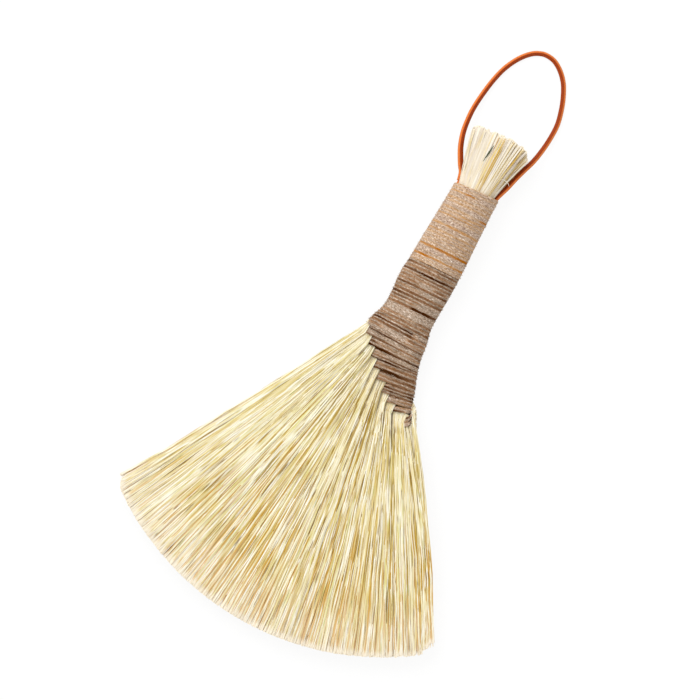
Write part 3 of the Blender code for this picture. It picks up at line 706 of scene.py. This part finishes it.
def straw_material(name, body_stops, paleness, patches, root_shade_colour, tip_shade_colour):
    """Dried plant straw, combed and trimmed: cream fibres with golden ones and dark flecks between,
    painted golden shade in the gaps and partings, a dull sheen along each fibre. patches is the
    number of colour patches along a fibre."""
    material, tree = new_material(name)
    tone, depth, along, near_gap, far_gap = [
        add_node(tree, "ShaderNodeAttribute", attribute_name=attribute).outputs["Fac"]
        for attribute in ("tone", "depth", "along", "near_gap", "far_gap")]

    # Noise that runs along each fibre: 9 patches on 150 mm of fan fibre are about 17 mm each. The two
    # large numbers set one fibre's noise well apart from the next
    number = add_node(tree, "ShaderNodeMath", {0: tone, 1: 811.0}, operation="MULTIPLY")
    start = add_node(tree, "ShaderNodeMath", {0: tone, 1: 353.7}, operation="MULTIPLY")
    length = add_node(tree, "ShaderNodeMath", {0: along, 1: patches, 2: start.outputs[0]},
                      operation="MULTIPLY_ADD")
    place = add_node(tree, "ShaderNodeCombineXYZ", {"X": number.outputs[0], "Y": length.outputs[0]})
    patch = add_node(tree, "ShaderNodeTexNoise", {"Vector": place.outputs[0], "Scale": 1.0, "Detail": 2.0})

    # Each fibre's own tone, which drifts along it, and golden patches
    drift = add_node(tree, "ShaderNodeMath", {0: patch.outputs["Fac"], 1: 0.8, 2: -0.4},
                     operation="MULTIPLY_ADD")
    shade = add_node(tree, "ShaderNodeMath", {0: tone, 1: drift.outputs[0]}, operation="ADD")
    body = add_node(tree, "ShaderNodeValToRGB", {"Fac": shade.outputs[0]}, stops=body_stops)
    patch_share = add_node(tree, "ShaderNodeValToRGB", {"Fac": patch.outputs["Fac"]},
                           stops=((0.52, 0.0), (0.72, 1.0)))
    golden = add_node(tree, "ShaderNodeMix", {0: patch_share.outputs["Color"], 6: body.outputs["Color"],
                                              7: linear("#E2CA84")}, data_type="RGBA")

    # Painted shade in the gaps, warm and golden, from the root colour to the tip colour: on fibres
    # near the bottom of the upper layer, except by the root, and beside the partings between locks
    gap_shade = add_node(tree, "ShaderNodeMix", {0: along, 6: linear(root_shade_colour), 7: linear(tip_shade_colour)},
                   data_type="RGBA")
    deep_shade = add_node(tree, "ShaderNodeValToRGB", {"Fac": depth},
                    stops=((0.10, 0.0), (0.15, 0.85), (0.22, 0.85), (0.32, 0.1)))
    settled = add_node(tree, "ShaderNodeValToRGB", {"Fac": along}, stops=((0.08, 0.1), (0.30, 1.0)))
    sunk_shade = add_node(tree, "ShaderNodeMath", {0: deep_shade.outputs["Color"], 1: settled.outputs["Color"]},
                    operation="MULTIPLY")
    outward = add_node(tree, "ShaderNodeValToRGB", {"Fac": along}, stops=((0.40, 0.0), (0.72, 1.0)))
    between = add_node(tree, "ShaderNodeMix", {0: outward.outputs["Color"], 2: near_gap, 3: far_gap},
                       data_type="FLOAT")
    parting = add_node(tree, "ShaderNodeValToRGB", {"Fac": between.outputs[0]},
                       stops=((0.61, 0.0), (0.85, 0.9)))
    shade_share = add_node(tree, "ShaderNodeMath", {0: sunk_shade.outputs[0], 1: parting.outputs["Color"]},
                     operation="MAXIMUM")
    with_gap_shade = add_node(tree, "ShaderNodeMix", {0: shade_share.outputs[0], 6: golden.outputs[2],
                                             7: gap_shade.outputs[2]}, data_type="RGBA")

    # Short brown and green flecks
    dashes = add_node(tree, "ShaderNodeMapping", {"Vector": place.outputs[0], "Location": (7.0, 3.0, 0.0),
                                                  "Scale": (3.0, 1.0, 1.0)})
    dash = add_node(tree, "ShaderNodeTexNoise", {"Vector": dashes.outputs[0], "Scale": 1.0, "Detail": 0.0})
    brown_share = add_node(tree, "ShaderNodeValToRGB", {"Fac": dash.outputs["Fac"]},
                           stops=((0.75, 0.0), (0.80, 0.85)))
    green_share = add_node(tree, "ShaderNodeValToRGB", {"Fac": dash.outputs["Fac"]},
                           stops=((0.17, 0.8), (0.21, 0.0)))
    flecked = add_node(tree, "ShaderNodeMix", {0: brown_share.outputs["Color"], 6: with_gap_shade.outputs[2],
                                               7: linear("#7A5414")}, data_type="RGBA")
    greened = add_node(tree, "ShaderNodeMix", {0: green_share.outputs["Color"], 6: flecked.outputs[2],
                                               7: linear("#98A43C")}, data_type="RGBA")

    # Paler at the root, and at the trimmed ends, where the paleness is partly their own colour and partly
    # painted light that lifts the shade among the tips. Grain 14 times as fine as the patches
    pale = add_node(tree, "ShaderNodeValToRGB", {"Fac": along}, stops=(
        (0.0, paleness), (0.30, 0.0), (0.80, 0.0), (0.93, 0.22), (0.978, 0.28), (0.992, 0.9)))
    final = add_node(tree, "ShaderNodeMix", {0: pale.outputs["Color"], 6: greened.outputs[2],
                                             7: linear("#FAF0DC")}, data_type="RGBA")
    grain = add_node(tree, "ShaderNodeTexNoise", {"Vector": place.outputs[0], "Scale": 14.0, "Detail": 3.0})
    bump = add_node(tree, "ShaderNodeBump", {"Height": grain.outputs["Fac"], "Strength": 0.25,
                                             "Distance": 0.0001})
    surface = add_node(tree, "ShaderNodeBsdfPrincipled", {
        "Base Color": final.outputs[2], "Roughness": 0.6, "IOR": 1.5, "Specular IOR Level": 0.15,
        "Normal": bump.outputs["Normal"]})
    add_node(tree, "ShaderNodeOutputMaterial", {"Surface": surface.outputs[0]})
    return material


def straw_of_one_colour(name, colour):
    """A single dried straw, dull and of one colour, that stands out from the ones round it."""
    material, tree = new_material(name)
    # Mottles about 1 mm across
    place = add_node(tree, "ShaderNodeTexCoord")
    grain = add_node(tree, "ShaderNodeTexNoise", {"Vector": place.outputs["Object"], "Scale": 900.0})
    body = add_node(tree, "ShaderNodeMix", {0: grain.outputs["Fac"], 6: linear(colour), 7: linear("#D8CBA8")},
                    data_type="RGBA", blend_type="SOFT_LIGHT")
    surface = add_node(tree, "ShaderNodeBsdfPrincipled", {
        "Base Color": body.outputs[2], "Roughness": 0.6, "Specular IOR Level": 0.2})
    add_node(tree, "ShaderNodeOutputMaterial", {"Surface": surface.outputs[0]})
    return material


def twine_material(name, body_stops, seam_shade_stops):
    """Soft-spun fuzzy twine: matt, mottled lengthwise, with a line of painted shade, darker or golden, in its
    seams.
    """
    material, tree = new_material(name)
    place = add_node(tree, "ShaderNodeTexCoord")
    uv = add_node(tree, "ShaderNodeSeparateXYZ", {"Vector": place.outputs["UV"]})
    seam = add_node(tree, "ShaderNodeAttribute", attribute_name="seam").outputs["Fac"]

    # Mottles about 1.2 mm along the twine and 0.6 mm across it. The spun hairs are much finer, and
    # these are as coarse as they need to be to show
    spun = add_node(tree, "ShaderNodeMapping", {"Vector": place.outputs["Object"],
                                                "Scale": (800.0, 1700.0, 1000.0)})
    mottle = add_node(tree, "ShaderNodeTexNoise", {"Vector": spun.outputs[0], "Scale": 1.0, "Detail": 4.0,
                                                   "Roughness": 0.65})
    body = add_node(tree, "ShaderNodeValToRGB", {"Fac": mottle.outputs["Fac"]}, stops=body_stops)

    # UV's X runs round the section. Its sine is 0 along the middle of a turn and 1 or -1 in its seams
    angle = add_node(tree, "ShaderNodeMath", {0: uv.outputs["X"], 1: 2 * math.pi}, operation="MULTIPLY")
    side = add_node(tree, "ShaderNodeMath", {0: angle.outputs[0]}, operation="SINE")
    edge = add_node(tree, "ShaderNodeMath", {0: side.outputs[0]}, operation="ABSOLUTE")
    line = add_node(tree, "ShaderNodeValToRGB", {"Fac": edge.outputs[0]}, stops=((0.15, 0.0), (0.31, 1.0)))
    shown = add_node(tree, "ShaderNodeMath", {0: line.outputs["Color"], 1: seam}, operation="MULTIPLY")
    # The painted shade's colour in the seams, darker where the seam is stronger
    seam_shade = add_node(tree, "ShaderNodeValToRGB", {"Fac": seam}, stops=seam_shade_stops)
    final = add_node(tree, "ShaderNodeMix", {0: shown.outputs[0], 6: body.outputs["Color"],
                                             7: seam_shade.outputs["Color"]}, data_type="RGBA")
    bump = add_node(tree, "ShaderNodeBump", {"Height": mottle.outputs["Fac"], "Strength": 0.6,
                                             "Distance": 0.0003})
    surface = add_node(tree, "ShaderNodeBsdfPrincipled", {
        "Base Color": final.outputs[2], "Roughness": 0.9, "IOR": 1.45, "Specular IOR Level": 0.05,
        "Normal": bump.outputs["Normal"]})
    add_node(tree, "ShaderNodeOutputMaterial", {"Surface": surface.outputs[0]})
    return material


def fuzz_material(name, stops):
    """Loose twine hairs: fine and matt, some paler and some darker than the twine under them."""
    material, tree = new_material(name)
    tone = add_node(tree, "ShaderNodeAttribute", attribute_name="tone")
    body = add_node(tree, "ShaderNodeValToRGB", {"Fac": tone.outputs["Fac"]}, stops=stops)
    surface = add_node(tree, "ShaderNodeBsdfPrincipled", {
        "Base Color": body.outputs["Color"], "Roughness": 0.9, "Specular IOR Level": 0.1,
        "Sheen Weight": 0.3})
    add_node(tree, "ShaderNodeOutputMaterial", {"Surface": surface.outputs[0]})
    return material


def leather_material():
    """Vegetable-tanned leather lace: a smooth orange grain side, a rough rust-brown flesh side."""
    material, tree = new_material("tan_leather_lace")
    place = add_node(tree, "ShaderNodeTexCoord")
    uv = add_node(tree, "ShaderNodeSeparateXYZ", {"Vector": place.outputs["UV"]})

    # Pores about 0.6 mm apart, drawn coarser than real ones so that they show
    pores = add_node(tree, "ShaderNodeTexNoise", {"Vector": place.outputs["Object"], "Scale": 1600.0,
                                                  "Detail": 4.0})

    # The ramp runs round the section, and the pores roughen the lines between the sides
    wander = add_node(tree, "ShaderNodeMath", {0: pores.outputs["Fac"], 1: 0.03, 2: uv.outputs["X"]},
                      operation="MULTIPLY_ADD")
    side = add_node(tree, "ShaderNodeValToRGB", {"Fac": wander.outputs[0]}, stops=(
        (0.0, "#E8863E"), (0.09, "#E2782C"), (0.118, "#C85C12"), (0.136, "#983600"), (0.36, "#A84400"),
        (0.62, "#983600"), (0.70, "#C05612"), (1.0, "#E8863E")))
    speck = add_node(tree, "ShaderNodeValToRGB", {"Fac": pores.outputs["Fac"]},
                     stops=((0.35, "#B98D72"), (0.6, "#FFFFFF")))
    final = add_node(tree, "ShaderNodeMix", {0: 0.5, 6: side.outputs["Color"], 7: speck.outputs["Color"]},
                     data_type="RGBA", blend_type="MULTIPLY")
    bump = add_node(tree, "ShaderNodeBump", {"Height": pores.outputs["Fac"], "Strength": 0.4,
                                             "Distance": 0.0002})
    surface = add_node(tree, "ShaderNodeBsdfPrincipled", {
        "Base Color": final.outputs[2], "Roughness": 0.6, "IOR": 1.5, "Specular IOR Level": 0.2,
        "Normal": bump.outputs["Normal"]})
    add_node(tree, "ShaderNodeOutputMaterial", {"Surface": surface.outputs[0]})
    return material


def bound_material():
    """Straw pressed together inside the binding: darker, with fine lines along the handle."""
    material, tree = new_material("bound_straw")
    place = add_node(tree, "ShaderNodeTexCoord")

    # Lines about 0.7 mm wide, as pressed straws are, and 33 mm long
    lines = add_node(tree, "ShaderNodeMapping", {"Vector": place.outputs["Object"],
                                                 "Scale": (1400.0, 30.0, 1400.0)})
    grain = add_node(tree, "ShaderNodeTexNoise", {"Vector": lines.outputs[0], "Scale": 1.0, "Detail": 3.0})
    body = add_node(tree, "ShaderNodeValToRGB", {"Fac": grain.outputs["Fac"]},
                    stops=((0.3, "#9A7335"), (0.5, "#C6A160"), (0.7, "#E0C88E")))
    bump = add_node(tree, "ShaderNodeBump", {"Height": grain.outputs["Fac"], "Strength": 0.5,
                                             "Distance": 0.0003})
    surface = add_node(tree, "ShaderNodeBsdfPrincipled", {
        "Base Color": body.outputs["Color"], "Roughness": 0.65, "Specular IOR Level": 0.3,
        "Normal": bump.outputs["Normal"]})
    add_node(tree, "ShaderNodeOutputMaterial", {"Surface": surface.outputs[0]})
    return material


# Floor, lights

def set_studio():
    """White paper that glows for the camera alone, a soft world and one soft box from the left."""
    material, tree = new_material("white_paper_floor")
    path = add_node(tree, "ShaderNodeLightPath")
    seen = add_node(tree, "ShaderNodeMath", {0: path.outputs["Is Camera Ray"], 1: 0.88},
                    operation="MULTIPLY")
    paper = add_node(tree, "ShaderNodeBsdfDiffuse", {"Color": (0.93, 0.93, 0.93, 1.0)})
    glow = add_node(tree, "ShaderNodeEmission", {"Color": (1.0, 1.0, 1.0, 1.0), "Strength": 1.02})
    surface = add_node(tree, "ShaderNodeMixShader", {0: seen.outputs[0], 1: paper.outputs[0],
                                                     2: glow.outputs[0]})
    add_node(tree, "ShaderNodeOutputMaterial", {"Surface": surface.outputs[0]})
    sheet = bmesh.new()
    bmesh.ops.create_grid(sheet, x_segments=1, y_segments=1, size=3.0)
    mesh = bpy.data.meshes.new("paper_floor")
    sheet.to_mesh(mesh)
    sheet.free()
    floor = bpy.data.objects.new("paper_floor", mesh)
    mesh.materials.append(material)
    bpy.context.scene.collection.objects.link(floor)

    # The world is white for the camera and lights the broom with 0.74
    world = bpy.data.worlds.new("soft_studio")
    world.use_nodes = True
    tree = world.node_tree
    tree.nodes.clear()
    path = add_node(tree, "ShaderNodeLightPath")
    level = add_node(tree, "ShaderNodeMath", {0: path.outputs["Is Camera Ray"], 1: 0.26, 2: 0.74},
                     operation="MULTIPLY_ADD")
    sky = add_node(tree, "ShaderNodeBackground", {"Color": (1.0, 1.0, 1.0, 1.0),
                                                  "Strength": level.outputs[0]})
    add_node(tree, "ShaderNodeOutputWorld", {"Surface": sky.outputs[0]})
    bpy.context.scene.world = world

    lamp = bpy.data.lights.new("soft_box", "AREA")
    lamp.shape, lamp.size, lamp.energy = "SQUARE", 0.9, 11.0
    key = bpy.data.objects.new("soft_box", lamp)
    key.location = (-0.7, 0.5, 1.1)
    key.rotation_euler = (Vector((0.0, 0.05, 0.0)) - key.location).to_track_quat("-Z", "Y").to_euler()
    bpy.context.scene.collection.objects.link(key)
    bpy.context.scene.view_settings.view_transform = "Standard"


# Making the broom

place_camera()

leather = leather_material()
make_lace(leather)
for name in ("leather_tail_left", "leather_tail_right"):
    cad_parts[name].data.materials.clear()
    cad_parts[name].data.materials.append(leather)

bound = bound_material()
for bundle in range(1, len(MOUTHS) + 1):
    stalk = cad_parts[f"stalk_{bundle:02d}"]
    stalk.data.materials.clear()
    stalk.data.materials.append(bound)

LIGHT_STOPS = ((0.37, "#7E6254"), (0.46, "#B89C88"), (0.55, "#CEB49E"), (0.64, "#F8ECDE"))
DARK_STOPS = ((0.36, "#7A6450"), (0.46, "#B29A84"), (0.55, "#C6AE9A"), (0.65, "#ECE0D2"))
# Painted shade in the seams between turns, golden on the light twine and brown on the dark
GOLD_SEAM_SHADE = ((0.0, "#D2A860"), (0.5, "#C88E34"), (1.0, "#B06A0C"))
BROWN_SEAM_SHADE = ((0.0, "#C08224"), (0.45, "#A26610"), (0.75, "#7C4800"), (1.0, "#482200"))

# Lines of painted shade, golden or brown, in the winding's seams: distance down, left and right
# end, and how strong
LIGHT_LINES = (
    (0.0044, -0.0130, -0.0055, 0.35), (0.0044, -0.0050, 0.0010, 0.95), (0.0150, 0.0095, 0.0150, 0.95),
    (0.0170, -0.0020, 0.0150, 0.35), (0.0196, -0.0150, 0.0060, 0.30), (0.0246, -0.0150, 0.0150, 0.38),
    (0.0290, -0.0150, 0.0150, 0.24), (0.0388, -0.0150, -0.0060, 0.55), (0.0388, -0.0060, 0.0160, 0.95),
    (0.0442, -0.0160, -0.0110, 0.60), (0.0442, -0.0115, -0.0060, 1.00), (0.0442, -0.0060, 0.0160, 0.60),
)
DARK_LINES = (
    (0.0488, -0.0090, 0.0160, 0.85), (0.0510, -0.0160, -0.0080, 0.75), (0.0510, 0.0020, 0.0160, 0.65),
    (0.0552, -0.0160, 0.0160, 0.95), (0.0575, -0.0160, 0.0000, 0.35), (0.0600, -0.0160, -0.0040, 0.45),
    (0.0600, 0.0060, 0.0130, 0.70), (0.0636, -0.0160, 0.0160, 0.70), (0.0660, -0.0160, 0.0160, 0.60),
    (0.0700, -0.0160, 0.0020, 0.60), (0.0720, -0.0160, 0.0000, 0.40), (0.0745, -0.0160, -0.0020, 0.60),
    (0.0745, -0.0020, 0.0160, 1.00), (0.0805, 0.0060, 0.0160, 0.60), (0.0805, -0.0160, -0.0060, 0.35),
    (0.0840, -0.0160, 0.0110, 0.60), (0.0865, -0.0160, 0.0080, 1.00), (0.0885, -0.0110, 0.0080, 0.80),
    (0.0905, -0.0170, -0.0100, 0.50), (0.0905, 0.0060, 0.0160, 0.60),
)
STAIR_LINES = (
    (0.0935, -0.0190, 0.0180, 0.80), (0.0972, -0.0160, 0.0180, 0.60), (0.0990, -0.0160, -0.0070, 0.80),
    (0.1030, -0.0130, 0.0200, 1.00), (0.1052, 0.0060, 0.0200, 0.50), (0.1075, -0.0090, 0.0200, 0.85),
    (0.1098, 0.0070, 0.0210, 0.60), (0.1115, -0.0040, 0.0210, 0.85), (0.1160, 0.0090, 0.0210, 0.75),
    (0.1178, 0.0040, 0.0240, 0.80), (0.1205, 0.0100, 0.0260, 0.90), (0.1225, 0.0110, 0.0260, 0.80),
    (0.1272, 0.0160, 0.0240, 0.80),
)
light_twine = twine_material("light_fuzzy_twine", LIGHT_STOPS, GOLD_SEAM_SHADE)
dark_twine = twine_material("dark_fuzzy_twine", DARK_STOPS, BROWN_SEAM_SHADE)
wind_twine("light_winding", 0, LIGHT_TURNS, light_twine, "binding_light",
           seed=11, gain=0.18, lines=LIGHT_LINES)
wind_twine("dark_winding", LIGHT_TURNS, GRIP_TURNS, dark_twine, "binding_dark",
           seed=12, gain=0.7, lines=DARK_LINES)
wind_twine("stair_winding", GRIP_TURNS, ALL_TURNS + 0.5, dark_twine, "binding_steps",
           seed=13, gain=0.6, lines=STAIR_LINES)

short_stock = fibre_stock(FULL_DOUBLINGS, SHORT_RINGS)
full_count, slim_count = 2 ** FULL_DOUBLINGS, 2 ** SLIM_DOUBLINGS
light_hair = fuzz_material("light_twine_hairs", ((0.0, "#A88C74"), (0.5, "#CDB59C"), (1.0, "#E8DAC6")))
dark_hair = fuzz_material("dark_twine_hairs", ((0.0, "#6A5038"), (0.5, "#A38C74"), (1.0, "#D2C2AC")))
lay_fuzz("light_winding_hairs", short_stock, full_count, 0, LIGHT_TURNS, light_hair,
         seed=21)
lay_fuzz("dark_winding_hairs", short_stock, full_count, LIGHT_TURNS, GRIP_TURNS, dark_hair,
         seed=22)
lay_fuzz("stair_winding_hairs", short_stock, full_count, GRIP_TURNS, ALL_TURNS, dark_hair,
         seed=23)

FAN_STOPS = ((0.0, "#7C5C10"), (0.10, "#AE8C32"), (0.22, "#DCC26C"), (0.38, "#ECDEA6"), (0.60, "#F5EBC4"),
             (0.84, "#FEFAEA"), (1.0, "#E0DA8E"))
TUFT_STOPS = ((0.0, "#B88A2A"), (0.14, "#D2AC54"), (0.28, "#E2CC92"), (0.46, "#E8DCC4"), (0.80, "#F0E8DA"),
              (1.0, "#DCD0C8"))
# Bundles with a greater share of the fan than this have twice as many fibres
FULL_SHARE = 0.09
# The last two colours are the painted shade in the gaps, by the root and by the tips
straw = straw_material("combed_straw", FAN_STOPS, paleness=0.4, patches=9.0,
                       root_shade_colour="#84700E", tip_shade_colour="#D89E1C")
full_stock = fibre_stock(FULL_DOUBLINGS, len(RING_SHARES))
slim_stock = fibre_stock(SLIM_DOUBLINGS, len(RING_SHARES))
for index, (_, _, share) in enumerate(MOUTHS):
    if share > FULL_SHARE:
        lay_fan_bundle(index, full_stock, full_count, straw)
    else:
        lay_fan_bundle(index, slim_stock, slim_count, straw)

# The last two colours are the painted shade in the gaps
trimmed = straw_material("trimmed_straw_ends", TUFT_STOPS, paleness=0.5, patches=1.6,
                         root_shade_colour="#D8B468", tip_shade_colour="#D8B468")
lay_one_straw("stray_white_straw", STRAY_STRAW, 0.0005, straw_of_one_colour("white_straw", "#F6EEDC"))
lay_one_straw("dark_straw", DARK_STRAW, 0.0009, straw_of_one_colour("dark_green_straw", "#3E4A34"))
lay_tuft(short_stock, full_count, trimmed)

set_studio()
